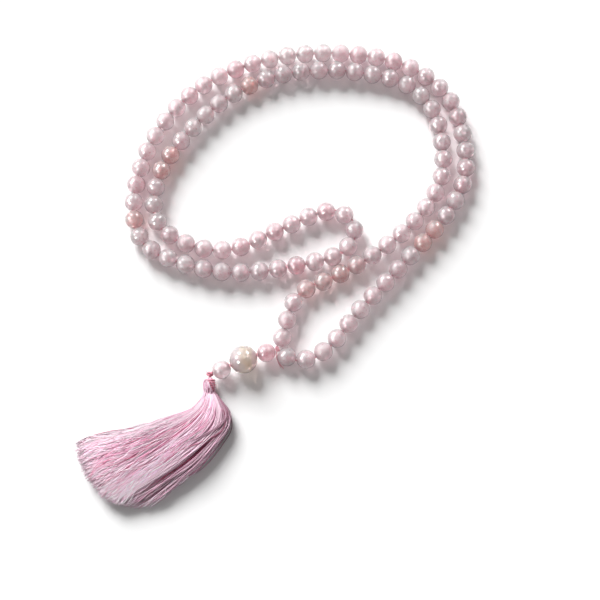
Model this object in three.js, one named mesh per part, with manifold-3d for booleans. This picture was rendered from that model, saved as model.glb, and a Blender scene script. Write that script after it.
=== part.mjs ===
// A japa mala laid on a table: 108 stone beads on one cord, both cord ends knotted together, then led
// through a spacer bead, a larger guru bead and a second spacer to a silk tassel. The loop lies folded
// into two nested strands that never cross. Millimetres, +Z up, the table at z = 0.
import * as THREE from "three";
import { mergeVertices } from "three/addons/utils/BufferGeometryUtils.js";
import Module from "manifold-3d";

const wasm = await Module();
wasm.setup();

// ---------------------------------------------------------------- driving dimensions, mm
const BEAD_COUNT = 108;
const BEAD_RADIUS = 4;
const GURU_RADIUS = 6;
const BORE_RADIUS = 0.9;
const CORD_RADIUS = 0.45;
const TAIL_CORD_RADIUS = 0.5; // both ends of the cord run together here
const CORD_GAP = 0.3; // between stretches of cord, and between a cord end and a knot
const JUNCTION_REACH = 5.3; // from the junction knot to the first and the last bead's centre
const JUNCTION_KNOT_RADIUS = 1;
const CORD_MOUTH = 0.93; // share of a bead's radius at which the cord meets the junction knot
const TASSEL_KNOT_RADIUS = 1.15;
const COLLAR_RADIUS = 1.5; // the touching rims that join the beads of one run

const NECK_LENGTH = 8.2; // from the tassel knot to where the skirt spreads
const BINDING_START = 1.9;
const BINDING_LENGTH = 5.9;
const BINDING_RADIUS = 2.5;
const BINDING_WALL = 0.75;
const CORE_RADIUS = 1.4;
const CORE_INTO_SKIRT = 1.5;
const SKIRT_NECK_HEIGHT = 5.4;
const SKIRT_END_HEIGHT = 4.2;
const SKIRT_SWELL = 3.4; // how much the middle of the skirt rises above both ends
const SKIRT_SIDE_SHARE = 0.35; // height of the skirt's edges as a share of its middle
const SKIRT_NECK_UNDERSIDE = 0.8; // the skirt leaves the table towards the neck
const SKIRT_LANDING = 0.14; // share of the skirt's length where it meets the table

const BEAD_SEGMENTS = 10;
const RUN_SEGMENTS = 8;
const RUN_BANDS = 4; // from rim to rim of each of its beads
const GURU_SEGMENTS = 14;
const TUBE_SIDES = 8;

// ---------------------------------------------------------------- the cord's route, mm
// The inner strand leaves the junction knot, runs round the inside of the ring and into the fold.
const INNER_STRAND = [
  [-1.5, -37], [0.6, -32], [5.3, -16.5], [10.5, -10.7], [24.5, -4.3], [45.8, 9], [62.8, 25.2],
  [71.1, 40.7], [71.8, 57.5], [68, 73], [57.5, 85], [42, 90.3], [18, 92.6], [-6, 88.8], [-27.5, 77],
  [-48.5, 53.5], [-55.2, 39.2], [-56, 24], [-51.5, 16], [-38.4, 9], [-22, 7.5], [0.5, 17.2],
  [15.5, 23.7], [24.5, 25], [31.3, 19.8],
];
// The outer strand turns back round the fold and runs round the outside of the ring to the same knot.
const OUTER_STRAND = [
  [31.3, 11.8], [25.8, 5.8], [9.5, 0.7], [-22, -3], [-46.3, 2.2], [-60.5, 10.5], [-65.5, 27.3],
  [-57.8, 58.8], [-37.3, 84], [-7.7, 97.6], [24.5, 101], [56.7, 94.7], [75.3, 79.3], [82.2, 55.5],
  [81, 39.2], [73.5, 24.3], [51.8, -0.6], [35.2, -18.5], [19.3, -37.2], [11.7, -41.3], [4, -41],
  [-1.5, -37],
];

// The tail: junction knot, inner spacer, guru, outer spacer, tassel knot.
const INNER_SPACER = new THREE.Vector3(-6.2, -38.8, 5.1);
const GURU = new THREE.Vector3(-15.9, -41.9, GURU_RADIUS);
const OUTER_SPACER = new THREE.Vector3(-25.2, -46.1, 5.1);
const TASSEL_KNOT = new THREE.Vector3(-30.1, -47.8, 4);
const NECK_DIRECTION = new THREE.Vector3(0, -1, -0.12).normalize();

// The skirt lies between these three threads: its left edge, its middle and its right edge.
const SKIRT_LEFT = [
  [-32.7, -56.1], [-34.2, -58.6], [-37.4, -62.1], [-42.6, -64.4], [-60.4, -70.4], [-80, -75.8],
  [-85.5, -78.3],
];
const SKIRT_MIDDLE = [[-30, -56.1], [-30.6, -62], [-36, -70], [-47, -79], [-60, -87.5], [-74.6, -96.2]];
const SKIRT_RIGHT = [
  [-27.4, -56.1], [-25, -59.6], [-21.8, -64.3], [-21.6, -70], [-25.5, -76.6], [-32.4, -85.4],
  [-41.3, -92.9], [-54.3, -102.4],
];

// ---------------------------------------------------------------- pieces of the strand, by bead number
// The cord bends at the ends of these stretches: three folds across both strands of the loop's doubled
// end, and one across both strands above the junction.
const INNER_RUNS = [[7, 15], [16, 24], [25, 33], [34, 42]];
const OUTER_RUNS = [[60, 67], [68, 74], [75, 81], [82, 88], [89, 95], [96, 102]];
const SINGLE_BEADS = [[1, 6], [43, 59], [103, 108]];
const CORD_STRETCHES = [
  // name, first bead and last bead on it
  ["cord_inner_strand", 7, 42],
  ["cord_outer_strand", 60, 102],
  ["cord_fold_1_inner", 43, 45],
  ["cord_fold_2_inner", 46, 48],
  ["cord_fold_tip", 49, 53],
  ["cord_fold_2_outer", 54, 56],
  ["cord_fold_1_outer", 57, 59],
  ["cord_tail_end_inner", 1, 6],
  ["cord_tail_end_outer", 103, 108],
];

// ---------------------------------------------------------------- materials
const rose = (color, roughness) => new THREE.MeshStandardMaterial({ color, roughness, metalness: 0 });
const BEAD_FINISH = rose(0xd8b4b8, 0.16);
const GURU_FINISH = rose(0xe2c6c4, 0.16);
const CORD_FINISH = rose(0xc77f8d, 0.75);
const TASSEL_FINISH = rose(0xe3aac6, 0.5);

// ---------------------------------------------------------------- geometry helpers
const UP = new THREE.Vector3(0, 0, 1);
const between = (a, b, share = 0.5) => a.clone().lerp(b, share);
const along = (from, to, distance) => from.clone().add(to.clone().sub(from).setLength(distance));

// A path through points, sampled at the points themselves and not at equal lengths.
class PointPath extends THREE.Curve {
  constructor(points) {
    super();
    this.points = points;
  }
  getUtoTmapping(u) {
    return u;
  }
  getPoint(t) {
    const place = THREE.MathUtils.clamp(t, 0, 1) * (this.points.length - 1);
    const i = Math.min(Math.floor(place), this.points.length - 2);
    return between(this.points[i], this.points[i + 1], place - i);
  }
}

function tube(points, radius) {
  const corners = [];
  for (let i = 0; i < TUBE_SIDES; i += 1) {
    const angle = 2 * Math.PI * i / TUBE_SIDES;
    corners.push(new THREE.Vector2(radius * Math.cos(angle), radius * Math.sin(angle)));
  }
  const section = new THREE.Shape(corners);
  return new THREE.ExtrudeGeometry(section, {
    steps: points.length - 1,
    extrudePath: new PointPath(points),
    bevelEnabled: false,
  });
}

function solid(geometry) {
  const bare = geometry.clone().deleteAttribute("normal").deleteAttribute("uv");
  const merged = mergeVertices(bare, 1e-3);
  return new wasm.Manifold(new wasm.Mesh({
    numProp: 3,
    vertProperties: new Float32Array(merged.attributes.position.array),
    triVerts: new Uint32Array(merged.index.array),
  }));
}

function geometryOf(manifold) {
  const mesh = manifold.getMesh();
  const geometry = new THREE.BufferGeometry();
  geometry.setAttribute("position", new THREE.BufferAttribute(mesh.vertProperties, 3));
  geometry.setIndex(new THREE.BufferAttribute(mesh.triVerts, 1));
  geometry.computeVertexNormals();
  return geometry;
}

// A ball lathed about Y and bored along Y. Its bands are even in number, so that it has its full radius
// at the middle.
function boredBall(radius, segments) {
  const mouth = Math.asin(BORE_RADIUS / radius);
  const bands = 2 * Math.round(segments / 4);
  const profile = [];
  for (let i = 0; i <= bands; i += 1) {
    const angle = THREE.MathUtils.lerp(Math.PI - mouth, mouth, i / bands);
    profile.push(new THREE.Vector2(radius * Math.sin(angle), radius * Math.cos(angle)));
  }
  profile.push(profile[0].clone());
  return new THREE.LatheGeometry(profile, segments);
}

// Turns and moves something lathed about Y so that it stands at a place with Y along a direction and
// one of its edges straight down.
function placing(centre, direction) {
  const y = direction.clone().normalize();
  const x = new THREE.Vector3().crossVectors(UP, y).normalize();
  const z = new THREE.Vector3().crossVectors(x, y);
  return new THREE.Matrix4().makeBasis(x, y, z).setPosition(centre);
}

const mala = new THREE.Group();

function addPiece(name, geometry, material, matrix = new THREE.Matrix4()) {
  const mesh = new THREE.Mesh(geometry, material);
  mesh.name = name;
  matrix.decompose(mesh.position, mesh.quaternion, mesh.scale);
  mala.add(mesh);
}

// ---------------------------------------------------------------- threading the beads
const route = new THREE.CatmullRomCurve3(
  [...INNER_STRAND, ...OUTER_STRAND].map(([x, y]) => new THREE.Vector3(x, y, BEAD_RADIUS)),
);
const ROUTE_SAMPLES = 6000;
const routePoints = route.getPoints(ROUTE_SAMPLES);
const junction = routePoints[0];

// The beads' centres, each one pitch from the last in a straight line, or null if the route is too short.
function threaded(pitch) {
  const centres = [];
  let from = junction;
  let i = 0;
  while (centres.length < BEAD_COUNT) {
    const reach = centres.length ? pitch : JUNCTION_REACH;
    while (i < routePoints.length && routePoints[i].distanceTo(from) < reach) i += 1;
    if (i === routePoints.length) return null;
    from = along(from, routePoints[i], reach);
    centres.push(from);
  }
  return centres;
}

// The pitch at which the last bead stands as far from the junction as the first.
function fittedPitch() {
  let low = 2 * BEAD_RADIUS;
  let high = 1.1 * low;
  for (let i = 0; i < 40; i += 1) {
    const middle = (low + high) / 2;
    const centres = threaded(middle);
    if (centres && centres.at(-1).distanceTo(junction) > JUNCTION_REACH) low = middle;
    else high = middle;
  }
  return low;
}

// centres[0] and centres[109] are the junction knot, so every bead has a neighbour on both sides.
const centres = [junction, ...threaded(fittedPitch()), junction];
const axisOf = (k) => centres[k + 1].clone().sub(centres[k - 1]).normalize();
const face = (k, side) => centres[k].clone().addScaledVector(axisOf(k), side * BEAD_RADIUS);

// The cord's place between bead k and the next one.
const gapAfter = (k) => between(face(k, 1), face(k + 1, -1));

// The cord's points along beads first to last. It stops short of the next stretch, and at the junction
// it stops in the end bead's mouth, against the knot.
function cordPoints(first, last) {
  const points = [];
  for (let k = first - 1; k <= last; k += 1) {
    if (k === 0) points.push(face(1, -CORD_MOUTH));
    else if (k === BEAD_COUNT) points.push(face(BEAD_COUNT, CORD_MOUTH));
    else points.push(gapAfter(k));
  }
  if (first > 1) points[0] = along(points[0], points[1], CORD_GAP / 2);
  if (last < BEAD_COUNT) points.push(along(points.pop(), points.at(-1), CORD_GAP / 2));
  return points;
}

// ---------------------------------------------------------------- the strand
function addSingleBead(k) {
  const name = `bead_${String(k).padStart(3, "0")}`;
  addPiece(name, boredBall(BEAD_RADIUS, BEAD_SEGMENTS), BEAD_FINISH, placing(centres[k], axisOf(k)));
}

// Neighbouring beads as one rigid piece: balls joined by the rims where they touch, on one open bore.
// The piece is a lathed skin whose rings are then moved to their places along the strand.
function addRun(strand, first, last) {
  const rings = [];
  const rim = Math.asin(COLLAR_RADIUS / BEAD_RADIUS);
  for (let k = first; k <= last; k += 1) {
    const frame = placing(centres[k], axisOf(k));
    for (let i = 0; i <= RUN_BANDS; i += 1) {
      const angle = THREE.MathUtils.lerp(rim, Math.PI - rim, i / RUN_BANDS);
      rings.push({ frame, radius: BEAD_RADIUS * Math.sin(angle), offset: -BEAD_RADIUS * Math.cos(angle) });
    }
  }
  const mouth = Math.sqrt(BEAD_RADIUS ** 2 - BORE_RADIUS ** 2);
  rings.push({ frame: placing(centres[last], axisOf(last)), radius: BORE_RADIUS, offset: mouth });
  for (let k = last - 1; k >= first; k -= 1) {
    const frame = placing(gapAfter(k), centres[k + 1].clone().sub(centres[k]));
    rings.push({ frame, radius: BORE_RADIUS, offset: 0 });
  }
  rings.push({ frame: placing(centres[first], axisOf(first)), radius: BORE_RADIUS, offset: -mouth });
  rings.push(rings[0]);

  const profile = rings.map(({ radius }, i) => new THREE.Vector2(radius, i));
  const skin = new THREE.LatheGeometry(profile, RUN_SEGMENTS);
  const position = skin.attributes.position;
  const point = new THREE.Vector3();
  for (let i = 0; i < position.count; i += 1) {
    const { frame, offset } = rings[i % rings.length];
    point.set(position.getX(i), offset, position.getZ(i)).applyMatrix4(frame);
    position.setXYZ(i, point.x, point.y, point.z);
  }
  skin.computeVertexNormals();
  addPiece(`${strand}_beads_${first}_to_${last}`, skin, BEAD_FINISH);
}

for (const [first, last] of SINGLE_BEADS) {
  for (let k = first; k <= last; k += 1) addSingleBead(k);
}
for (const [first, last] of INNER_RUNS) addRun("inner", first, last);
for (const [first, last] of OUTER_RUNS) addRun("outer", first, last);
for (const [name, first, last] of CORD_STRETCHES) {
  addPiece(name, tube(cordPoints(first, last), CORD_RADIUS), CORD_FINISH);
}

// ---------------------------------------------------------------- the tail
function addKnot(name, centre, radius) {
  const turns = new THREE.SphereGeometry(radius, 12, 8);
  addPiece(name, turns, CORD_FINISH, new THREE.Matrix4().setPosition(centre));
}

const TAIL = [
  { place: junction, radius: JUNCTION_KNOT_RADIUS },
  { name: "inner_spacer_bead", place: INNER_SPACER, radius: BEAD_RADIUS, segments: BEAD_SEGMENTS },
  { name: "guru_bead", place: GURU, radius: GURU_RADIUS, segments: GURU_SEGMENTS },
  { name: "outer_spacer_bead", place: OUTER_SPACER, radius: BEAD_RADIUS, segments: BEAD_SEGMENTS },
  { place: TASSEL_KNOT, radius: TASSEL_KNOT_RADIUS },
];
const tailAxis = (i) => TAIL[i + 1].place.clone().sub(TAIL[i - 1].place).normalize();
const tailFace = (i, side) => TAIL[i].place.clone().addScaledVector(tailAxis(i), side * TAIL[i].radius);

// Where the doubled cord ends on one side of a tail bead: half a cord gap short of the middle of the
// gap to the next bead, or in the mouth of the bore where the neighbour is a knot.
function tailCordEnd(i, side) {
  if (!TAIL[i + side].name) return tailFace(i, side * CORD_MOUTH);
  const gap = between(tailFace(i, side), tailFace(i + side, -side));
  return along(gap, TAIL[i].place, CORD_GAP / 2);
}

function addTailBead(i) {
  const { name, place, radius, segments } = TAIL[i];
  const finish = radius === GURU_RADIUS ? GURU_FINISH : BEAD_FINISH;
  addPiece(name, boredBall(radius, segments), finish, placing(place, tailAxis(i)));
  const points = [tailCordEnd(i, -1), tailFace(i, -0.8), tailFace(i, 0.8), tailCordEnd(i, 1)];
  addPiece(`cord_${name}`, tube(points, TAIL_CORD_RADIUS), CORD_FINISH);
}

addKnot("junction_knot", junction, JUNCTION_KNOT_RADIUS);
for (let i = 1; i <= 3; i += 1) addTailBead(i);
addKnot("tassel_knot", TASSEL_KNOT, TASSEL_KNOT_RADIUS);

// ---------------------------------------------------------------- the tassel
const neckPoint = (distance) => TASSEL_KNOT.clone().addScaledVector(NECK_DIRECTION, distance);

// The thread wound round the neck, as a sleeve with rounded shoulders, open at both ends.
function addBinding() {
  const outer = BINDING_RADIUS;
  const inner = outer - BINDING_WALL;
  const half = BINDING_LENGTH / 2;
  const shoulder = BINDING_WALL * 0.8;
  const profile = [
    [inner, -half], [outer - shoulder, -half], [outer, shoulder - half], [outer, half - shoulder],
    [outer - shoulder, half], [inner, half], [inner, -half],
  ].map(([r, y]) => new THREE.Vector2(r, y));
  const centre = neckPoint(BINDING_START + half);
  const sleeve = new THREE.LatheGeometry(profile, 12);
  addPiece("tassel_binding", sleeve, CORD_FINISH, placing(centre, NECK_DIRECTION));
}

// The folded threads inside the binding, narrow where they hang from the knot.
function neckCore() {
  const top = TASSEL_KNOT_RADIUS + CORD_GAP;
  const bottom = NECK_LENGTH + CORE_INTO_SKIRT;
  const profile = [
    [0, top], [0.6 * CORE_RADIUS, top], [CORE_RADIUS, top + 1], [CORE_RADIUS, bottom], [0, bottom],
  ].map(([r, y]) => new THREE.Vector2(r, y));
  return new THREE.LatheGeometry(profile, 10).applyMatrix4(placing(TASSEL_KNOT, NECK_DIRECTION));
}

// A thread's place across the skirt: -1 at the left edge, 0 in the middle, 1 at the right edge.
function skirtPoint(edges, length, across) {
  const [left, middle, right] = edges.map((edge) => edge.getPointAt(length));
  return left.multiplyScalar(across * (across - 1) / 2)
    .addScaledVector(middle, 1 - across * across)
    .addScaledVector(right, across * (across + 1) / 2);
}

// The spread threads as one closed form: flat on the table, domed on top, thinner at its edges.
function skirtForm() {
  const edges = [SKIRT_LEFT, SKIRT_MIDDLE, SKIRT_RIGHT].map(
    (points) => new THREE.CatmullRomCurve3(points.map(([x, y]) => new THREE.Vector3(x, y, 0))),
  );
  const form = new THREE.BoxGeometry(1, 2, 1, 14, 8, 1);
  const position = form.attributes.position;
  for (let i = 0; i < position.count; i += 1) {
    const length = position.getX(i) + 0.5;
    const across = position.getY(i);
    const point = skirtPoint(edges, length, across);
    const rise = THREE.MathUtils.lerp(SKIRT_NECK_HEIGHT, SKIRT_END_HEIGHT, length);
    const top = rise + SKIRT_SWELL * Math.sin(Math.PI * length);
    const dome = 1 - (1 - SKIRT_SIDE_SHARE) * across * across;
    const underside = SKIRT_NECK_UNDERSIDE * Math.max(0, 1 - length / SKIRT_LANDING);
    position.setXYZ(i, point.x, point.y, position.getZ(i) > 0 ? top * dome : underside);
  }
  return form;
}

addBinding();
addPiece("tassel_skirt", geometryOf(solid(skirtForm()).add(solid(neckCore()))), TASSEL_FINISH);

// ---------------------------------------------------------------- origin at the base's centre
const extent = new THREE.Box3().setFromObject(mala, true);
const middle = extent.getCenter(new THREE.Vector3());
for (const piece of mala.children) piece.position.sub(new THREE.Vector3(middle.x, middle.y, extent.min.z));

export default mala;
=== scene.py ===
"""A rose quartz mala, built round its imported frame: its beads, cord, knots, binding and tassel.

Shapes are worked out in millimetres in the layout's own coordinates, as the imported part's source does,
and turn into metres in the frame when a mesh is made.
"""

import math

import bpy
import numpy as np
from mathutils import Matrix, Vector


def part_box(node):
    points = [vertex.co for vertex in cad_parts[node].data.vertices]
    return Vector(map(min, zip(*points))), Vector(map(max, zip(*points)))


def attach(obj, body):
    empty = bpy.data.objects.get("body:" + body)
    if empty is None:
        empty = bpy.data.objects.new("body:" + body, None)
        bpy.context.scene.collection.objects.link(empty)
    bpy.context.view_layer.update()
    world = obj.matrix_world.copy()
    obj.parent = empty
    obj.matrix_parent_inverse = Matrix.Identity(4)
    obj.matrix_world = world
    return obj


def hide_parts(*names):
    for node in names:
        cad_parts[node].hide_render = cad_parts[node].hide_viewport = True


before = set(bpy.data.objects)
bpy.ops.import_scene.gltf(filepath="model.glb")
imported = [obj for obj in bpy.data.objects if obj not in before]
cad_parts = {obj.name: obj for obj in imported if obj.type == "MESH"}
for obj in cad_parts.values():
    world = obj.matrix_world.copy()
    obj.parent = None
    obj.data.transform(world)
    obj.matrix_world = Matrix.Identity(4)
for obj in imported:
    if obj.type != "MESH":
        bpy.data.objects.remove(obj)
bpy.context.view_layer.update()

MM = 0.001
UP = np.array([0.0, 0.0, 1.0])

# ---------------------------------------------------------------- driving dimensions, mm
BEAD_COUNT = 108
BEAD_RADIUS = 4
STONE_RADIUS = 4.08  # polished stones run a little over their nominal size
GURU_RADIUS = 6
BORE_RADIUS = 0.9
LIP_RADIUS = 0.12  # rounding where the bore meets the ball
LIP_FLATNESS = 0.55  # how deep the rounding is, as a share of its width
JUNCTION_REACH = 5.3  # from the junction knot to the first and the last bead
CORD_MOUTH = 0.93  # where an end of a cord stops, as a share of a bead's radius

PLY_COUNT = 3
CORD_PLY_RADIUS = 0.22
CORD_LAY = 2.4  # length of one full twist
TAIL_CORD_LAY = 7
TAIL_PLY_RADIUS = 0.36  # each of the two cords that run side by side in the tail
JUNCTION_KNOT_SIZE = 0.36
JUNCTION_PLY_RADIUS = 0.17
JUNCTION_KNOT_LAY = 1.6
TASSEL_KNOT_SIZE = 0.42
TASSEL_PLY_RADIUS = 0.2
TASSEL_KNOT_LAY = 2.1

BINDING_START = 1.9  # down the neck from the tassel knot
BINDING_LENGTH = 5.9
BINDING_RADIUS = 2.5
BINDING_TURNS = 5
BINDING_SLANT = 0.3
BINDING_CROWN = 0.25  # how far the binding narrows at its two ends
BINDING_LAY = 2.6
HANGER_REACH = (0.9, 3.2)  # the cord's stretch from the tassel knot into the binding

SKIRT_HEIGHT = 5.4  # over the table at the neck and at the end
SKIRT_SWELL = 3.4  # and so much more halfway
SKIRT_LEFT_SHARE = 0.35  # heights of the edges as shares of the middle's
SKIRT_RIGHT_SHARE = 0.75
SKIRT_NECK_UNDERSIDE = 0.8  # clear of the table at the neck
SKIRT_LANDING = 0.14  # share of the skirt's length before it lies on the table

# ---------------------------------------------------------------- layout, mm
INNER_STRAND = [
    [-1.5, -37], [0.6, -32], [5.3, -16.5], [10.5, -10.7], [24.5, -4.3], [45.8, 9], [62.8, 25.2],
    [71.1, 40.7], [71.8, 57.5], [68, 73], [57.5, 85], [42, 90.3], [18, 92.6], [-6, 88.8], [-27.5, 77],
    [-48.5, 53.5], [-55.2, 39.2], [-56, 24], [-51.5, 16], [-38.4, 9], [-22, 7.5], [0.5, 17.2],
    [15.5, 23.7], [24.5, 25], [31.3, 19.8],
]
OUTER_STRAND = [
    [31.3, 11.8], [25.8, 5.8], [9.5, 0.7], [-22, -3], [-46.3, 2.2], [-60.5, 10.5], [-65.5, 27.3],
    [-57.8, 58.8], [-37.3, 84], [-7.7, 97.6], [24.5, 101], [56.7, 94.7], [75.3, 79.3], [82.2, 55.5],
    [81, 39.2], [73.5, 24.3], [51.8, -0.6], [35.2, -18.5], [19.3, -37.2], [11.7, -41.3], [4, -41],
    [-1.5, -37],
]
JUNCTION = np.array([-1.5, -37, BEAD_RADIUS])
INNER_SPACER = np.array([-6.2, -38.8, 5.1])
GURU = np.array([-15.9, -41.9, GURU_RADIUS])
OUTER_SPACER = np.array([-25.2, -46.1, 5.1])
TASSEL_KNOT = np.array([-30.1, -47.8, 4])
NECK_DIRECTION = np.array([0, -1, -0.12]) / math.hypot(1, 0.12)
SKIRT_LEFT = [
    [-32.7, -56.1], [-34.2, -58.6], [-37.4, -62.1], [-42.6, -64.4], [-60.4, -70.4], [-80, -75.8],
    [-85.5, -78.3],
]
SKIRT_MIDDLE = [[-30, -56.1], [-30.6, -62], [-36, -70], [-47, -79], [-60, -87.5], [-74.6, -96.2]]
SKIRT_RIGHT = [
    [-27.4, -56.1], [-25, -59.6], [-21.8, -64.3], [-21.6, -70], [-25.5, -76.6], [-32.4, -85.4],
    [-41.3, -92.9], [-54.3, -102.4],
]

# Nodes of the frame by the beads on them, and the body that each stretch of cord rides on.
RUNS = {
    "inner": [[7, 15], [16, 24], [25, 33], [34, 42]],
    "outer": [[60, 67], [68, 74], [75, 81], [82, 88], [89, 95], [96, 102]],
}
CORD_STRETCHES = [
    # node, first bead, last bead, body
    ["cord_inner_strand", 7, 42, "ring"],
    ["cord_outer_strand", 60, 102, "ring"],
    ["cord_fold_1_inner", 43, 45, "fold_1"],
    ["cord_fold_2_inner", 46, 48, "fold_2"],
    ["cord_fold_tip", 49, 53, "fold_tip"],
    ["cord_fold_2_outer", 54, 56, "fold_2"],
    ["cord_fold_1_outer", 57, 59, "fold_1"],
    ["cord_tail_end_inner", 1, 6, "tail_end"],
    ["cord_tail_end_outer", 103, 108, "tail_end"],
]

# ---------------------------------------------------------------- colours, as seen in daylight
def linear(red, green, blue):
    """A colour given as 0 to 255 turned into the linear numbers that shaders take."""
    shares = np.array([red, green, blue]) / 255
    return np.where(shares <= 0.04045, shares / 12.92, ((shares + 0.055) / 1.055) ** 2.4)


QUARTZ = linear(247, 222, 227)
QUARTZ_ROSE = linear(242, 190, 200)
QUARTZ_SALMON = linear(242, 176, 168)
QUARTZ_MILKY = linear(250, 232, 234)
GURU_PALE = linear(226, 204, 210)
GURU_BAND = linear(238, 216, 190)
GURU_BLUSH = linear(230, 194, 198)
CORD_COLOUR = linear(226, 172, 182)
BINDING_COLOUR = linear(226, 146, 164)
SILK_WHITE = linear(246, 228, 238)
SILK_PALE = linear(240, 204, 223)
SILK_PINK = linear(230, 160, 194)
SILK_ROSE = linear(216, 130, 164)
SILK_DEEP = linear(204, 92, 130)
# Partly painted shade: the dark mauve that the right shoulder, facing away from the light, is mixed
# towards.
SILK_MAUVE_AND_SHADE = linear(140, 96, 114)
SILK_SILVER = linear(222, 212, 218)

# How far single beads lean from plain quartz, from 0 to 1.
ROSE_BEADS = {
    44: 0.8, 46: 0.6, 49: 0.7, 55: 0.8, 67: 0.6, 73: 0.6, 76: 0.7, 83: 0.5, 85: 0.5, 89: 0.5, 90: 0.4,
    93: 0.5, 94: 0.4, 100: 0.5,
}
SALMON_BEADS = {4: 0.6, 5: 0.7, 6: 0.8, 7: 0.5, 29: 1.0, 35: 0.8, 36: 0.8, 65: 0.7, 97: 0.8, 98: 0.9}
MILKY_BEADS = {
    19: 0.8, 30: 0.9, 32: 0.8, 33: 0.9, 38: 0.7, 39: 0.6, 61: 0.7, 62: 0.6, 64: 0.6, 78: 0.7, 79: 0.8,
    80: 0.7, 81: 0.7,
}


# ---------------------------------------------------------------- vectors and paths
def unit(vectors):
    return vectors / np.linalg.norm(vectors, axis=-1, keepdims=True)


def smooth_path(points, samples):
    """A centripetal Catmull-Rom curve through the points, with so many samples for each span."""
    points = np.array(points, float)
    ends = [2 * points[0] - points[1]], [2 * points[-1] - points[-2]]
    padded = np.concatenate([ends[0], points, ends[1]])
    pieces = []
    for a, b, c, d in zip(padded, padded[1:], padded[2:], padded[3:]):
        t1 = math.sqrt(np.linalg.norm(b - a))
        t2 = t1 + math.sqrt(np.linalg.norm(c - b))
        t3 = t2 + math.sqrt(np.linalg.norm(d - c))
        t = np.linspace(t1, t2, samples, endpoint=False)[:, None]
        ab = (t1 - t) / t1 * a + t / t1 * b
        bc = (t2 - t) / (t2 - t1) * b + (t - t1) / (t2 - t1) * c
        cd = (t3 - t) / (t3 - t2) * c + (t - t2) / (t3 - t2) * d
        abc = (t2 - t) / t2 * ab + t / t2 * bc
        bcd = (t3 - t) / (t3 - t1) * bc + (t - t1) / (t3 - t1) * cd
        pieces.append((t2 - t) / (t2 - t1) * abc + (t - t1) / (t2 - t1) * bcd)
    return np.concatenate([*pieces, points[-1:]])


def lengths_along(points):
    steps = np.linalg.norm(np.diff(points, axis=0), axis=1)
    return np.concatenate([[0], np.cumsum(steps)])


def at_length(points, shares):
    """Points at these shares, from 0 to 1, of a path's length."""
    lengths = lengths_along(points)
    wanted = np.asarray(shares) * lengths[-1]
    return np.stack([np.interp(wanted, lengths, column) for column in points.T], axis=-1)


def carried_frames(points):
    """Two directions across a path at each point, turned no more than the path itself turns."""
    tangents = unit(np.gradient(points, axis=0))
    start = np.cross(UP, tangents[0])
    if np.linalg.norm(start) < 0.1:
        start = np.array([1.0, 0, 0])
    sides = [unit(start)]
    for tangent in tangents[1:]:
        side = sides[-1] - tangent * np.dot(sides[-1], tangent)
        sides.append(unit(side))
    sides = np.array(sides)
    return sides, np.cross(tangents, sides)


def basis(direction):
    """Columns x, y, z with y along the direction, x level and z as upright as can be."""
    y = unit(np.array(direction, float))
    x = unit(np.cross(y, UP))
    return np.stack([x, y, np.cross(x, y)], axis=1)


# ---------------------------------------------------------------- meshes
# The frame's origin is the middle of the base. The guru's centre says where that is in the layout.
guru_box = np.array([list(corner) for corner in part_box("guru_bead")])
ORIGIN = GURU - guru_box.mean(axis=0) / MM


class Skin:
    """Vertices, faces and a colour for each vertex, gathered for one object."""

    def __init__(self):
        self.vertices, self.faces, self.colours, self.count = [], [], [], 0

    def add(self, vertices, faces, colours=(1, 1, 1)):
        self.vertices.append(vertices)
        self.faces.append(np.asarray(faces) + self.count)
        self.colours.append(np.broadcast_to(colours, vertices.shape))
        self.count += len(vertices)

    def rings(self, rings, colours=(1, 1, 1), closed=False):
        """Joins rings of points, an array of ring, point and xyz. Open ends are closed with fans."""
        number, sides = rings.shape[:2]
        spans = number if closed else number - 1
        i, j = np.meshgrid(np.arange(spans), np.arange(sides), indexing="ij")
        here, there = i % number * sides, (i + 1) % number * sides
        turn = (j + 1) % sides
        quads = np.stack([here + j, here + turn, there + turn, there + j], axis=-1).reshape(-1, 4)
        shades = np.broadcast_to(colours, (number, 3))
        self.add(rings.reshape(-1, 3), quads, np.repeat(shades, sides, axis=0))
        if not closed:
            ring = np.arange(sides)
            for start, face in ((0, ring[::-1]), ((number - 1) * sides, ring)):
                self.faces.append(face[None] + self.count - number * sides + start)

    def tube(self, path, radius, sides=6, colours=(1, 1, 1), frames=None):
        side, up = carried_frames(path) if frames is None else frames
        angles = 2 * np.pi * np.arange(sides) / sides
        radii = np.broadcast_to(radius, len(path))[:, None, None]
        circle = np.cos(angles)[None, :, None] * side[:, None] + np.sin(angles)[None, :, None] * up[:, None]
        self.rings(path[:, None] + radii * circle, colours)

    def build(self, name, material):
        vertices = (np.concatenate(self.vertices) - ORIGIN) * MM
        faces = [face for group in self.faces for face in group.tolist()]
        mesh = bpy.data.meshes.new(name)
        mesh.from_pydata(vertices.tolist(), [], faces)
        mesh.shade_smooth()
        tint = mesh.color_attributes.new("tint", "FLOAT_COLOR", "POINT")
        colours = np.concatenate(self.colours)
        opaque = np.concatenate([colours, np.ones((len(colours), 1))], axis=1)
        tint.data.foreach_set("color", opaque.astype(np.float32).ravel())
        mesh.materials.append(material)
        piece = bpy.data.objects.new(name, mesh)
        bpy.context.scene.collection.objects.link(piece)
        return piece


def plies(skin, path, ply_radius, lay, colour, count=PLY_COUNT, sides=6):
    """A twisted cord: plies that wind round the path and touch each other."""
    offset = ply_radius / math.sin(math.pi / count)
    frames = carried_frames(path)
    side, up = frames
    for ply in range(count):
        turn = 2 * np.pi * (lengths_along(path) / lay + ply / count)
        shift = offset * (np.cos(turn)[:, None] * side + np.sin(turn)[:, None] * up)
        skin.tube(path + shift, ply_radius, sides, colour, frames)


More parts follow.
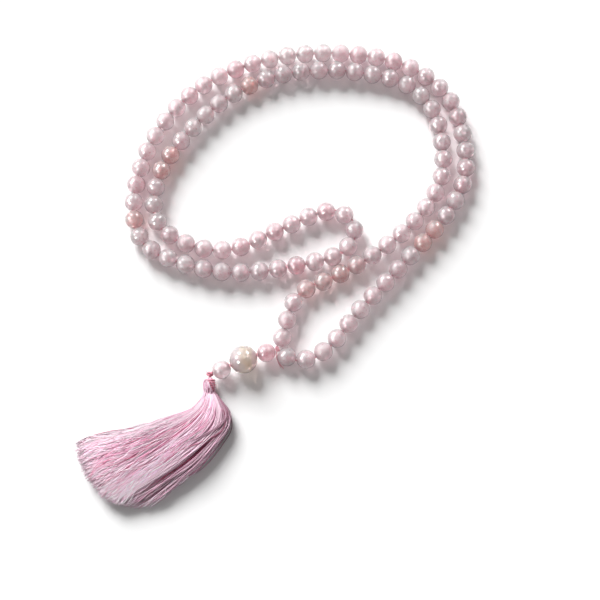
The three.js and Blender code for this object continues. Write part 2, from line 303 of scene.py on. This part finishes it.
# ---------------------------------------------------------------- materials
class Graph:
    """A material's node tree with one Principled shader."""

    def __init__(self, name):
        self.material = bpy.data.materials.new(name)
        self.material.use_nodes = True
        self.tree = self.material.node_tree
        self.shader = self.tree.nodes["Principled BSDF"]

    def node(self, kind, **inputs):
        made = self.tree.nodes.new("ShaderNode" + kind)
        for key, value in inputs.items():
            self.feed(made.inputs[key.replace("_", " ")], value)
        return made

    def feed(self, socket, value):
        if isinstance(value, bpy.types.NodeSocket):
            self.tree.links.new(value, socket)
        else:
            socket.default_value = value

    def set(self, **inputs):
        for key, value in inputs.items():
            self.feed(self.shader.inputs[key.replace("_", " ")], value)

    def tint(self):
        made = self.tree.nodes.new("ShaderNodeVertexColor")
        made.layer_name = "tint"
        return made.outputs["Color"]

    def place(self):
        return self.node("TexCoord").outputs["Object"]

    def noise(self, scale, detail=3, distortion=0.0):
        made = self.node(
            "TexNoise", Vector=self.place(), Scale=scale, Detail=detail, Distortion=distortion
        )
        return made.outputs["Fac"]

    def ramp(self, value, low, high, to_low=0.0, to_high=1.0):
        """value between low and high, stretched smoothly to run from to_low to to_high."""
        made = self.tree.nodes.new("ShaderNodeMapRange")
        made.interpolation_type = "SMOOTHSTEP"
        for socket, entry in zip(made.inputs, (value, low, high, to_low, to_high)):
            self.feed(socket, entry)
        return made.outputs["Result"]

    def math(self, operation, a, b=0.0):
        made = self.tree.nodes.new("ShaderNodeMath")
        made.operation = operation
        self.feed(made.inputs[0], a)
        self.feed(made.inputs[1], b)
        return made.outputs[0]

    def mix(self, share, a, b, blend="MIX"):
        made = self.tree.nodes.new("ShaderNodeMix")
        made.data_type = "RGBA"
        made.blend_type = blend
        for name, value in (("Factor", share), ("A", a), ("B", b)):
            socket = next(s for s in made.inputs if s.name == name and s.enabled)
            self.feed(socket, value)
        return next(s for s in made.outputs if s.enabled)

    def bump(self, height, strength, distance):
        made = self.node("Bump", Height=height, Strength=strength, Distance=distance)
        self.set(Normal=made.outputs["Normal"])


def colour(values):
    return (*(float(v) for v in values), 1.0)


def veined(graph, base, pale, deep):
    """Quartz inside: pale clouds, deeper patches and flecks, thin healed cracks, and small bright pale
    spots, partly inclusions and partly painted sparkle for tiny reflections.
    """
    clouds = graph.ramp(graph.noise(500, 6, 0.8), 0.42, 0.64, 0, 0.5)
    patches = graph.ramp(graph.noise(260, 3, 0.5), 0.46, 0.66, 0, 0.4)
    crack = graph.math("ABSOLUTE", graph.math("SUBTRACT", graph.noise(300, 3, 1.8), 0.5))
    veils = graph.ramp(crack, 0.0, 0.03, 0.9, 0)
    flecks = graph.ramp(graph.noise(1150, 2), 0.34, 0.44, 0.75, 0)
    # Partly painted highlight: small bright spots stand in for tiny reflections as well as inclusions.
    specks_and_painted_sparkle = graph.ramp(graph.noise(1700, 1), 0.62, 0.7, 0, 0.9)
    cloudy = graph.mix(clouds, base, pale)
    patched = graph.mix(patches, cloudy, deep)
    flecked = graph.mix(flecks, patched, deep)
    cracked = graph.mix(veils, flecked, pale)
    return graph.mix(specks_and_painted_sparkle, cracked, pale)


def polished_stone(graph, shown):
    """Polish over milky stone that light enters: clear coat, faint ripples and a soft glow inside."""
    graph.set(
        Base_Color=shown, Roughness=graph.ramp(graph.noise(420, 2), 0.3, 0.7, 0.36, 0.52), IOR=1.54,
        Subsurface_Weight=1.0, Subsurface_Radius=(1.0, 0.85, 0.87), Subsurface_Scale=0.03,
        Transmission_Weight=0.62, Coat_Weight=1.0, Coat_Roughness=0.08, Coat_IOR=1.54,
        Specular_IOR_Level=0.2,
    )
    ripples = graph.math("ADD", graph.noise(330, 2), graph.math("MULTIPLY", graph.noise(1100, 2), 0.3))
    graph.bump(ripples, 0.4, 0.00012)


def quartz_material():
    graph = Graph("rose_quartz")
    tint = graph.tint()
    deep = graph.mix(1.0, tint, colour(linear(230, 190, 198)), "MULTIPLY")
    pale = graph.mix(0.6, tint, colour(linear(252, 246, 247)))
    polished_stone(graph, veined(graph, tint, pale, deep))
    return graph.material


def guru_material():
    """Milkier quartz with a beige band across the bead, beside its middle."""
    graph = Graph("guru_quartz")
    coordinate = graph.node("SeparateXYZ", Vector=graph.place()).outputs["X"]
    middle = (GURU[0] - ORIGIN[0] + 1.3) * MM
    wobble = graph.math("MULTIPLY", graph.math("SUBTRACT", graph.noise(120, 2), 0.5), 0.0018)
    offset = graph.math("ABSOLUTE", graph.math("ADD", graph.math("SUBTRACT", coordinate, middle), wobble))
    band = graph.ramp(offset, 0.0017, 0.0032, 0.9, 0)
    beyond = graph.ramp(coordinate, middle - 0.001, middle + 0.003)
    body = graph.mix(beyond, colour(GURU_PALE), colour(GURU_BLUSH))
    banded = graph.mix(band, body, colour(GURU_BAND))
    cloud = graph.ramp(graph.noise(240, 4, 0.6), 0.45, 0.7, 0, 0.5)
    polished_stone(graph, graph.mix(cloud, banded, colour(linear(248, 238, 238))))
    return graph.material


def thread_material(name, roughness, sheen, fuzz):
    """Dyed thread with a fine fibre grain; its colour is on the mesh."""
    graph = Graph(name)
    grain = graph.noise(5200, 2, 0.3)
    depth = graph.ramp(grain, 0.3, 0.7, 0, 0.3)
    shade = graph.mix(depth, graph.tint(), colour((0.75, 0.6, 0.64)), "MULTIPLY")
    graph.set(
        Base_Color=shade, Roughness=roughness, Sheen_Weight=sheen, Sheen_Roughness=0.35,
        Sheen_Tint=colour(linear(255, 225, 238)), Specular_IOR_Level=0.55,
    )
    graph.bump(grain, fuzz, 0.00006)
    return graph.material


def floor_material():
    graph = Graph("white_table")
    grain = graph.ramp(graph.noise(60, 2), 0.3, 0.7, 0.86, 0.88)
    shade = graph.node("CombineColor", Red=grain, Green=grain, Blue=grain).outputs["Color"]
    graph.set(Base_Color=shade, Roughness=0.9, Specular_IOR_Level=0.1)
    return graph.material


quartz = quartz_material()
guru_quartz = guru_material()
cord_thread = thread_material("cord_thread", 0.6, 0.3, 0.5)
silk = thread_material("tassel_silk", 0.42, 0.25, 0.3)


# ---------------------------------------------------------------- the strand
def threaded(route, pitch):
    """The beads' centres, each one pitch from the last in a straight line, or None past the route's end."""
    centres = []
    here = route[0]
    i = 0
    while len(centres) < BEAD_COUNT:
        reach = pitch if centres else JUNCTION_REACH
        while i < len(route) and np.linalg.norm(route[i] - here) < reach:
            i += 1
        if i == len(route):
            return None
        here = here + unit(route[i] - here) * reach
        centres.append(here)
    return centres


def bead_centres():
    """The junction, every bead's centre and the junction again, at the pitch that fills the route."""
    level = [[x, y, BEAD_RADIUS] for x, y in INNER_STRAND + OUTER_STRAND]
    route = smooth_path(level, 130)
    low, high = 2 * BEAD_RADIUS, 2.2 * BEAD_RADIUS
    for _ in range(30):
        middle = (low + high) / 2
        centres = threaded(route, middle)
        if centres and np.linalg.norm(centres[-1] - JUNCTION) > JUNCTION_REACH:
            low = middle
        else:
            high = middle
    return np.array([JUNCTION, *threaded(route, low), JUNCTION])


centres = bead_centres()


def axis_of(k):
    return unit(centres[k + 1] - centres[k - 1])


def face_of(k, side):
    return centres[k] + axis_of(k) * side * BEAD_RADIUS


def cord_points(first, last):
    points = []
    for k in range(first - 1, last + 1):
        if k == 0:
            points.append(face_of(1, -CORD_MOUTH))
        elif k == BEAD_COUNT:
            points.append(face_of(BEAD_COUNT, CORD_MOUTH))
        else:
            points.append((face_of(k, 1) + face_of(k + 1, -1)) / 2)
    return points


def bored_ball(skin, centre, direction, radius, tone, rng, segments=48, bands=26):
    """A polished ball with a rounded lip at each end of its bore, and a hair out of round."""
    mouth = math.asin((BORE_RADIUS + LIP_RADIUS) / radius)
    angles = np.linspace(math.pi - mouth, mouth, bands)
    profile = [(radius * math.sin(a), -radius * math.cos(a)) for a in angles[::-1]]
    lip_depth = LIP_RADIUS * LIP_FLATNESS
    lip_offset = radius * math.cos(mouth) - lip_depth
    turns = np.linspace(0.25, 1, 4) * math.pi / 2
    front = [
        (BORE_RADIUS + LIP_RADIUS * (1 - math.sin(t)), lip_offset + lip_depth * math.cos(t))
        for t in turns
    ]
    back = [(r, -offset) for r, offset in reversed(front)]
    profile += front + back
    spread = 2 * np.pi * np.arange(segments) / segments
    radii, offsets = np.array(profile).T
    local = np.stack(
        [
            radii[:, None] * np.sin(spread),
            np.broadcast_to(offsets[:, None], (len(profile), segments)),
            radii[:, None] * np.cos(spread),
        ],
        axis=-1,
    )
    stretch = 1 + np.array([rng.uniform(-0.006, 0), rng.uniform(-0.003, 0), rng.uniform(-0.006, 0)])
    turn = basis(direction) @ rotation_y(rng.uniform(0, 2 * math.pi))
    skin.rings((local * stretch) @ turn.T + centre, tone, closed=True)


def rotation_y(angle):
    c, s = math.cos(angle), math.sin(angle)
    return np.array([[c, 0, s], [0, 1, 0], [-s, 0, c]])


def bead_tone(k, rng):
    """The stone's own colour: rose, salmon or milky where listed, and a small lean of its own."""
    tone = QUARTZ + (QUARTZ_ROSE - QUARTZ) * (ROSE_BEADS.get(k, 0) + rng.uniform(0, 0.22))
    tone = tone + (QUARTZ_SALMON - tone) * SALMON_BEADS.get(k, 0)
    tone = tone + (QUARTZ_MILKY - tone) * (MILKY_BEADS.get(k, 0) + rng.uniform(0, 0.2))
    return np.clip(tone, 0, 1)


def home_of(k):
    """(body, node) that bead k belongs to."""
    for strand, runs in RUNS.items():
        for first, last in runs:
            if first <= k <= last:
                return "ring", f"{strand}_beads_{first}_to_{last}"
    return f"bead_{k:03d}", f"bead_{k:03d}"


def make_bead(k):
    rng = np.random.default_rng(1000 + k)
    skin = Skin()
    raised = centres[k] + UP * (STONE_RADIUS - BEAD_RADIUS)
    bored_ball(skin, raised, axis_of(k), STONE_RADIUS, bead_tone(k, rng), rng)
    piece = skin.build(f"quartz_bead_{k:03d}", quartz)
    body, node = home_of(k)
    finish(piece, body, "rose_quartz", node)


def finish(piece, body, slot, *nodes):
    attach(piece, body)
    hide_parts(*nodes)


def make_cord(node, first, last, body):
    path = smooth_path(cord_points(first, last), 20)
    skin = Skin()
    plies(skin, path, CORD_PLY_RADIUS, CORD_LAY, CORD_COLOUR)
    finish(skin.build("twisted_" + node, cord_thread), body, "cord", node)


for number in range(1, BEAD_COUNT + 1):
    make_bead(number)
for stretch in CORD_STRETCHES:
    make_cord(*stretch)


# ---------------------------------------------------------------- the tail
TAIL = [JUNCTION, INNER_SPACER, GURU, OUTER_SPACER, TASSEL_KNOT]
TAIL_RADII = [1, BEAD_RADIUS, GURU_RADIUS, BEAD_RADIUS, 1.15]
LAST_TAIL_BEAD = 3


def tail_axis(i):
    return unit(TAIL[i + 1] - TAIL[i - 1])


def tail_face(i, side):
    return TAIL[i] + tail_axis(i) * side * TAIL_RADII[i]


def make_tail_bead(i, name, body, link, material, slot, tone):
    """A bead of the tail, with the doubled cord through it from halfway to each neighbouring bead."""
    rng = np.random.default_rng(2000 + i)
    skin = Skin()
    fine = 64 if TAIL_RADII[i] == GURU_RADIUS else 48
    bored_ball(skin, TAIL[i], tail_axis(i), TAIL_RADII[i], tone, rng, fine, fine // 2)
    finish(skin.build(name + "_stone", material), body, slot, name + "_bead")
    ends = [
        (tail_face(i, side) + tail_face(i + side, -side)) / 2 if 1 <= i + side <= LAST_TAIL_BEAD
        else tail_face(i, side * CORD_MOUTH)
        for side in (-1, 1)
    ]
    path = smooth_path([ends[0], tail_face(i, -0.8), tail_face(i, 0.8), ends[1]], 16)
    pair = Skin()
    plies(pair, path, TAIL_PLY_RADIUS, TAIL_CORD_LAY, CORD_COLOUR, count=2, sides=10)
    finish(pair.build("doubled_cord_" + name, cord_thread), link, "cord", f"cord_{name}_bead")


def knot_path(centre, direction, size, samples=140):
    """A trefoil, drawn tight, with its hole along the direction."""
    t = np.linspace(0, 2 * math.pi, samples)
    ring = 2 + np.cos(3 * t)
    local = np.stack([ring * np.cos(2 * t), 1.5 * np.sin(3 * t), ring * np.sin(2 * t)], axis=-1)
    return size * local @ basis(direction).T + centre


def loose_end(skin, points, tone, radius=0.13, strands=3, seed=0):
    """A cut end of cord whose plies fan out a little."""
    rng = np.random.default_rng(seed)
    path = smooth_path(points, 12)
    reach = np.linspace(0, 1, len(path))[:, None]
    for _ in range(strands):
        lean = rng.normal(0, 0.35, 3) * [1, 1, 0.4]
        thinning = radius * (1 - 0.5 * reach[:, 0] ** 3)
        skin.tube(path + lean * reach**1.5, thinning, 6, tone)


def make_junction_knot():
    skin = Skin()
    path = knot_path(JUNCTION, tail_axis(1), JUNCTION_KNOT_SIZE)
    plies(skin, path, JUNCTION_PLY_RADIUS, JUNCTION_KNOT_LAY, CORD_COLOUR)
    x, y, z = JUNCTION
    first = [[x, y, z - 0.6], [x - 0.1, y - 2.6, 2], [x + 1.2, y - 5.4, 0.7], [x + 2.9, y - 7.6, 0.35]]
    second = [[x, y, z - 0.6], [x - 0.6, y - 2.2, 2.2], [x + 0.2, y - 5.2, 0.8], [x + 1.4, y - 7.9, 0.4]]
    loose_end(skin, first, CORD_COLOUR, seed=5)
    loose_end(skin, second, CORD_COLOUR * 0.85, seed=6)
    finish(skin.build("junction_knot_tied", cord_thread), "tail_end", "cord", "junction_knot")


def make_tassel_knot():
    skin = Skin()
    path = knot_path(TASSEL_KNOT, NECK_DIRECTION, TASSEL_KNOT_SIZE)
    plies(skin, path, TASSEL_PLY_RADIUS, TASSEL_KNOT_LAY, BINDING_COLOUR)
    x, y, z = TASSEL_KNOT
    stub = [[x - 0.4, y, z + 0.4], [x - 1.3, y + 0.7, z + 0.9], [x - 1.9, y + 1.6, z + 0.8]]
    loose_end(skin, stub, SILK_SILVER, 0.16, 2, seed=7)
    finish(skin.build("tassel_knot_tied", cord_thread), "tassel_hanger", "cord", "tassel_knot")


make_tail_bead(1, "inner_spacer", "inner_spacer", "inner_spacer_link", quartz, "rose_quartz", QUARTZ_ROSE)
make_tail_bead(2, "guru", "guru", "guru_link", guru_quartz, "guru", GURU_PALE)
make_tail_bead(3, "outer_spacer", "outer_spacer", "outer_spacer_link", quartz, "rose_quartz", QUARTZ)
make_junction_knot()
make_tassel_knot()


# ---------------------------------------------------------------- the tassel
NECK_BASIS = basis(-NECK_DIRECTION)  # x to the right as the tassel hangs towards the viewer


def neck_point(distance):
    return TASSEL_KNOT + NECK_DIRECTION * distance


def make_binding():
    """Thread wound tightly round the neck, its turns side by side, and the cord that the neck hangs on."""
    thread = BINDING_LENGTH / (BINDING_TURNS + 1) / 2
    t = np.linspace(0, 1, BINDING_TURNS * 40)
    angle = 2 * np.pi * BINDING_TURNS * t
    along = BINDING_START + thread + t * (BINDING_LENGTH - 2 * thread) + BINDING_SLANT * np.cos(angle)
    radius = BINDING_RADIUS - thread - BINDING_CROWN * (2 * t - 1) ** 2
    across = np.cos(angle)[:, None] * NECK_BASIS[:, 0] + np.sin(angle)[:, None] * NECK_BASIS[:, 2]
    path = neck_point(along[:, None]) + radius[:, None] * across
    skin = Skin()
    plies(skin, path, thread * 0.44, BINDING_LAY, BINDING_COLOUR, sides=8)
    hanger = neck_point(np.linspace(*HANGER_REACH, 24)[:, None])
    plies(skin, hanger, CORD_PLY_RADIUS * 1.2, CORD_LAY, BINDING_COLOUR)
    finish(skin.build("tassel_binding_wound", cord_thread), "tassel", "cord", "tassel_binding")


EDGES = [smooth_path(edge, 30) for edge in (SKIRT_LEFT, SKIRT_MIDDLE, SKIRT_RIGHT)]


def along_edge(edge, length):
    """Points along an edge, going straight on past its end."""
    past = np.maximum(0, length - 1)[..., None] * lengths_along(edge)[-1]
    return at_length(edge, length) + past * unit(edge[-1] - edge[-8])


def skirt_place(length, across, height):
    """Points in the skirt: length from 0 to 1, across from -1 to 1, height from 0 at the table to 1."""
    left, middle, right = (along_edge(edge, length) for edge in EDGES)
    a = across[..., None]
    level = left * a * (a - 1) / 2 + middle * (1 - a * a) + right * a * (a + 1) / 2
    middle_top = SKIRT_HEIGHT + SKIRT_SWELL * np.sin(np.pi * np.clip(length, 0, 1))
    side_share = np.where(across < 0, SKIRT_LEFT_SHARE, SKIRT_RIGHT_SHARE)
    top = middle_top * (1 - (1 - side_share) * across**2)
    under = SKIRT_NECK_UNDERSIDE * np.maximum(0, 1 - length / SKIRT_LANDING)
    return np.concatenate([level, (under + (top - under) * height)[..., None]], axis=-1)


def half_width(length):
    left, _, right = (at_length(edge, length) for edge in EDGES)
    return np.linalg.norm(right - left, axis=-1) / 2


def smoothstep(low, high, value):
    x = np.clip((value - low) / (high - low), 0, 1)
    return x * x * (3 - 2 * x)


THREAD_RADIUS = 0.165
STRAY_RADIUS = 0.85 * THREAD_RADIUS
THREAD_SAMPLES = 34
NECK_STOPS = np.array([1.6, 3.0, 5.0, 7.0])  # distances down the neck where each thread is held
SKIRT_SAMPLES = THREAD_SAMPLES - len(NECK_STOPS)
ALONG = np.linspace(0.02, 1, SKIRT_SAMPLES)  # shares of the skirt's length where a thread has a point
WHOLE_THREAD = np.concatenate([np.zeros(len(NECK_STOPS)), ALONG])[:, None]  # with 0 at each neck stop
THREAD_SQUEEZE = 0.5  # a thread's thickness in the neck and at its cut end, as a share of the rest
NECK_SQUEEZE = np.array([0.5, 0.9, 1.0, 1.0])[:, None]  # the neck's width where each thread is held
GRIP_RADIUS = 1.5  # the threads keep within this of the neck's middle
SKIRT_THICKNESS = 5.5  # turns mm upwards into shares of the skirt's height
HOLLOW_EDGE = 0.16  # how far across the upper locks stop, halfway down


def sway(rng, size, low, high):
    """A slow wave along the skirt that grows from nothing at the neck."""
    swing = rng.normal(0, size)
    turns = rng.uniform(low, high) * ALONG + rng.uniform()
    return swing * np.sin(2 * np.pi * turns) * ALONG


def thread_path(rng, across, height, reach, grip):
    """One thread from the knot through the neck and down the skirt.

    across and height give its place in the skirt at each of ALONG, and grip its place in the neck.
    """
    share = ALONG * (reach - abs(rng.normal(0, 0.03)))
    skirt = skirt_place(share, np.clip(across, -1.08, 1.08), np.clip(height, 0.02, 1.06))
    skirt[:, 2] = np.maximum(skirt[:, 2], THREAD_RADIUS)
    held = grip * min(1, GRIP_RADIUS / np.linalg.norm(grip))
    neck = neck_point(NECK_STOPS[:, None]) + NECK_SQUEEZE * (NECK_BASIS[:, [0, 2]] @ held)
    return np.concatenate([neck, skirt])


def grip_of(rng, across, height):
    """Where in the neck a thread is held, in mm across and up, when that is its place in the skirt."""
    return np.array([across * 1.25, (height - 0.5) * 2.3]) + rng.normal(0, 0.22, 2)


def lock_of_threads(rng, across, height, count, gathers):
    """Paths of the threads in one lock, which wander together, twist round each other and fan out.

    gathers is how much of its way past HOLLOW_EDGE the lock is drawn back, which opens a hollow there.
    """
    wander = sum(sway(rng, 0.028, 0.5, 2.2) for _ in range(3))
    opens = rng.uniform(0.1, 0.28)
    parted = gathers * rng.uniform(0.55, 1.0) * smoothstep(opens, opens + 0.25, ALONG)
    parted = parted * (1 - 0.3 * smoothstep(0.75, 1.0, ALONG))
    centre = across + wander - parted * max(0, across - HOLLOW_EDGE)
    rise = height + sway(rng, 0.12, 0.3, 1.0)
    spread = 0.3 + 0.8 * ALONG**0.8
    twist = rng.uniform(-3.5, 3.5) * ALONG
    half = half_width(ALONG)
    splayed = smoothstep(0.78, 1.0, ALONG)
    reach = 1.03 + 0.03 * smoothstep(-0.2, 0.5, across) - abs(rng.normal(0, 0.022))
    paths = []
    for _ in range(count):
        radius, angle = math.sqrt(rng.uniform(0.02, 1.4)), rng.uniform(0, 2 * math.pi)
        own = sway(rng, 1.4, 0.6, 2.4) + sway(rng, 0.5, 3, 7) + rng.normal(0, 0.9) * splayed
        aside = spread * radius * np.cos(angle + twist) + own
        above = spread * radius * np.sin(angle + twist) + sway(rng, 0.3, 0.6, 2)
        place = rise + above / SKIRT_THICKNESS
        paths.append(thread_path(rng, centre + aside / half, place, reach, grip_of(rng, across, height)))
    return paths


def between(a, b, share):
    return a + (b - a) * share


def shade_facing_light(across, along):
    """Painted shade: darkens the silk on the upper left of the skirt, where it lies across the light, less
    so towards the end.
    """
    return 1 - 0.36 * smoothstep(0.2, -0.5, across) * (1 - 0.8 * smoothstep(0.4, 0.9, along))


def silk_tone(rng, across, height):
    """A thread's colour along its length: mixed pinks, silvery at cut tips and left wisps, dark mauve
    partly as painted shade at the right shoulder, painted shade of deep rose in the hollow and on the lit
    upper left, painted light on the right and towards the end, and painted sheen in bands along it.
    """
    draw = rng.uniform()
    if draw < 0.3:
        base = between(SILK_WHITE, SILK_PALE, rng.uniform())
    elif draw < 0.65:
        base = between(SILK_PALE, SILK_PINK, rng.uniform())
    elif draw < 0.9:
        base = between(SILK_PINK, SILK_ROSE, rng.uniform())
    else:
        base = between(SILK_ROSE, SILK_DEEP, rng.uniform())
    along = WHOLE_THREAD
    # Painted shade: deeper rose is mixed into the low threads in the hollow between the parted locks, where
    # shade falls.
    low = 1 - smoothstep(0.55, 0.75, height)
    inside = smoothstep(0.0, 0.3, across) * (1 - smoothstep(0.7, 0.9, across)) * low
    hollow = inside * smoothstep(0.25, 0.42, along) * (1 - 0.5 * smoothstep(0.85, 1.0, along))
    # Painted light: threads on the right and towards the end, which slope away from the light, are lifted
    # towards white.
    painted_lift = smoothstep(-0.6, 0.4, across) * smoothstep(0.4, 0.95, along)
    tone = between(base, SILK_WHITE, rng.uniform(0.1, 0.8) * painted_lift)
    tone = between(tone, between(SILK_DEEP, SILK_ROSE, rng.uniform(0, 0.9)), hollow)
    # Painted sheen: bright and dark bands along each thread.
    painted_sheen = 1 + 0.24 * np.sin(2 * np.pi * (rng.uniform(4, 12) * along + rng.uniform()))
    # Painted light: the right side, which slopes away from the light, is brightened; the lit upper left is
    # darkened with painted shade.
    turned = 1 + 0.35 * smoothstep(0.0, 0.6, across) * smoothstep(0.3, 0.7, along)
    tone = tone * painted_sheen * turned * rng.uniform(0.66, 1.14) * shade_facing_light(across, along)
    tone = np.minimum(tone, 0.95)
    # Partly painted shade: the right shoulder, which faces away from the light, goes towards dark mauve,
    # partly its own tone.
    shoulder = smoothstep(0.72, 0.92, across) * (1 - smoothstep(0.3, 0.5, along))
    tone = between(tone, SILK_MAUVE_AND_SHADE, 0.8 * shoulder)
    tip = smoothstep(0.88, 1.0, along) * rng.uniform(0.1, 0.9)
    left = smoothstep(-0.7, -1.0, across) * smoothstep(0.2, 0.5, along) * rng.uniform(0.1, 0.9)
    return between(tone, SILK_SILVER, np.maximum(tip, left))


def add_thread(skin, path, tone, radius=THREAD_RADIUS):
    """A path as a thin tube that is squeezed together in the neck and thins at its cut end."""
    squeeze = np.ones(len(path))
    squeeze[: len(NECK_STOPS)] = THREAD_SQUEEZE
    squeeze[-1] = THREAD_SQUEEZE
    tangents = unit(np.gradient(path, axis=0))
    side = unit(np.cross(UP, tangents))
    skin.tube(path, radius * squeeze, 5, tone, (side, np.cross(tangents, side)))


LAYERS = [
    # name, locks, threads in each, lowest and highest place in the skirt, how far parted
    ["tassel_threads_under", 30, 12, 0.0, 0.3, 0.0],
    ["tassel_threads_inner", 34, 12, 0.35, 0.68, 0.0],
    ["tassel_threads_upper", 44, 10, 0.6, 0.85, 0.75],
    ["tassel_threads_top", 52, 8, 0.82, 1.0, 0.95],
]


def make_layer(seed, name, locks, count, low, high, parts):
    rng = np.random.default_rng(seed)
    skin = Skin()
    for place in np.linspace(-0.96, 0.96, locks):
        across = place + rng.uniform(-0.9, 0.9) / locks
        height = rng.uniform(low, high)
        for path in lock_of_threads(rng, across, height, count, parts):
            add_thread(skin, path, silk_tone(rng, across, height))
    finish(skin.build(name, silk), "tassel", "tassel", "tassel_skirt")


def make_strays():
    """Single threads over the skirt: they cross the locks, arc down the right or fray off the left."""
    rng = np.random.default_rng(3100)
    skin = Skin()
    kinds = [
        # how many, across at the neck, across at the end, height
        [300, (-0.95, 0.75), (-0.95, 0.5), (0.9, 1.06)],
        [22, (0.85, 1.0), (0.75, 1.0), (0.6, 1.0)],
        [10, (0.8, 1.05), (0.2, 0.7), (0.7, 1.0)],
        [26, (-1.0, -0.8), (-1.08, -0.85), (0.1, 0.9)],
    ]
    for count, near, far, heights in kinds:
        for _ in range(count):
            start = rng.uniform(*near)
            end = np.clip(start + rng.normal(0, 0.3), *far)
            across = start + (end - start) * smoothstep(0.2, 1.0, ALONG) + sway(rng, 0.05, 0.6, 2)
            height = rng.uniform(*heights)
            rise = height + sway(rng, 0.08, 0.5, 1.5)
            path = thread_path(rng, across, rise, rng.uniform(0.97, 1.035), grip_of(rng, start, height))
            tone = between(SILK_WHITE, SILK_PINK, rng.uniform(0, 0.7))
            tone = between(tone, SILK_SILVER, smoothstep(0.6, 1.0, -start))
            # Painted shade on the strays of the upper left, which lie across the light.
            tone = tone * shade_facing_light(start, WHOLE_THREAD)
            add_thread(skin, path, tone, STRAY_RADIUS)
    finish(skin.build("tassel_threads_stray", silk), "tassel", "tassel", "tassel_skirt")


def neck_cover_tone(rng):
    # Painted shade: the whole tone is darkened to 0.85, as these threads lie on the lit left of the neck.
    return between(SILK_WHITE, SILK_PINK, rng.uniform(0.2, 1.0)) * 0.85


def make_neck_cover():
    """Threads that come over the left of the binding, folded back there before the skirt."""
    rng = np.random.default_rng(3200)
    skin = Skin()
    for _ in range(56):
        angle = rng.uniform(math.radians(100), math.radians(205))
        bulge = rng.uniform(2.6, 2.9)
        late = rng.uniform(0.0, 1.6)  # mm further down that it comes out from under the turns
        distances = late * np.array([1.0, 0.9, 0.6, 0.2, 0.0]) + [2.2, 2.9, 4.2, 5.9, 7.6]
        radii = np.array([0.86, 0.97, 1.0, 1.0, 0.92]) * bulge
        turn = angle + rng.normal(0, 0.2) * np.arange(5)
        out = np.cos(turn)[:, None] * NECK_BASIS[:, 0] + np.sin(turn)[:, None] * NECK_BASIS[:, 2]
        neck = neck_point(distances[:, None]) + radii[:, None] * out
        across = np.clip(0.9 * math.cos(angle) + rng.normal(0, 0.12), -1.0, 0.5)
        height = np.clip(0.5 + 0.5 * math.sin(angle), 0.1, 1.0)
        ways = ALONG[ALONG > 0.1]
        skirt = skirt_place(ways * rng.uniform(0.5, 1.0), across + 0 * ways, height + 0 * ways)
        path = smooth_path(np.concatenate([neck, skirt[::3]]), 3)
        path[:, 2] = np.maximum(path[:, 2], THREAD_RADIUS)
        add_thread(skin, path, neck_cover_tone(rng))
    finish(skin.build("tassel_threads_over_neck", silk), "tassel", "tassel", "tassel_skirt")


make_binding()
for index, layer in enumerate(LAYERS):
    make_layer(3000 + index, *layer)
make_strays()
make_neck_cover()


# ---------------------------------------------------------------- floor, lights and camera
FIELD_OF_VIEW = 30.8  # degrees across the picture
GLINT_SIZE = 0.47  # m


def make_floor():
    size = 20.0
    mesh = bpy.data.meshes.new("table")
    corners = [(-size, -size, 0), (size, -size, 0), (size, size, 0), (-size, size, 0)]
    mesh.from_pydata(corners, [], [(0, 1, 2, 3)])
    mesh.materials.append(floor_material())
    floor = bpy.data.objects.new("table", mesh)
    bpy.context.scene.collection.objects.link(floor)


def place_light(light, azimuth, elevation, distance):
    """Puts a light where it looks at the middle of the object. Azimuth 0 is +X and 90 is +Y."""
    lamp = bpy.data.objects.new(light.name, light)
    bpy.context.scene.collection.objects.link(lamp)
    a, e = math.radians(azimuth), math.radians(elevation)
    back = np.array([math.cos(a) * math.cos(e), math.sin(a) * math.cos(e), math.sin(e)])
    lamp.location = back * distance
    aim(lamp, -back)
    return lamp


def glint_light(name, azimuth, elevation, power):
    """A small bright pane 2 m away that is only seen as a sharp point of light in the polish."""
    light = bpy.data.lights.new(name, "AREA")
    light.size = GLINT_SIZE
    light.energy = power
    lamp = place_light(light, azimuth, elevation, 2)
    lamp.visible_diffuse = False
    lamp.visible_transmission = False


def sun(name, azimuth, elevation, spread, strength, shines_through):
    """A far soft light, the same over the whole table, that leaves no broad shine of its own on the stones.

    shines_through says whether it also lights the table through them.
    """
    light = bpy.data.lights.new(name, "SUN")
    light.angle = math.radians(spread)
    light.energy = strength
    lamp = place_light(light, azimuth, elevation, 2)
    lamp.visible_glossy = False
    lamp.visible_transmission = shines_through


def aim(thing, direction):
    """Turns a camera or light so that it looks along the direction, with its top upwards."""
    z = -unit(np.array(direction, float))
    x = np.cross([0, 1, 0] if abs(z[2]) > 0.99 else UP, z)
    x = unit(x)
    y = np.cross(z, x)
    thing.rotation_mode = "QUATERNION"
    columns = np.stack([x, y, z], axis=1)
    thing.rotation_quaternion = Matrix(columns.tolist()).to_quaternion()


def make_camera():
    """The viewpoint: 476 mm away, looking down at 76 degrees."""
    target = (np.array([8.2, -14.4, 0]) - ORIGIN) * MM
    away = np.array([0, -112.7, 462.4]) * MM
    camera = bpy.data.cameras.new("camera")
    camera.sensor_width = 36
    camera.lens = camera.sensor_width / 2 / math.tan(math.radians(FIELD_OF_VIEW / 2))
    camera.clip_start, camera.clip_end = 0.01, 20
    holder = bpy.data.objects.new("camera", camera)
    bpy.context.scene.collection.objects.link(holder)
    holder.location = target + away
    aim(holder, -away)
    bpy.context.scene.camera = holder


def make_world():
    world = bpy.data.worlds.new("soft_room")
    world.use_nodes = True
    background = world.node_tree.nodes["Background"]
    background.inputs["Color"].default_value = (1, 0.99, 0.985, 1)
    background.inputs["Strength"].default_value = 0.27
    bpy.context.scene.world = world


make_floor()
sun("key", 119, 32, 34, 3.7, False)
sun("key_glow", 119, 32, 34, 2.1, True)
glint_light("glint_back_left", 128, 36, 42)
glint_light("glint_left", 172, 33, 42)
glint_light("glint_front", 217, 36, 34)
glint_light("glint_back", 57, 30, 22)
make_camera()
make_world()
bpy.context.scene.view_settings.view_transform = "Standard"
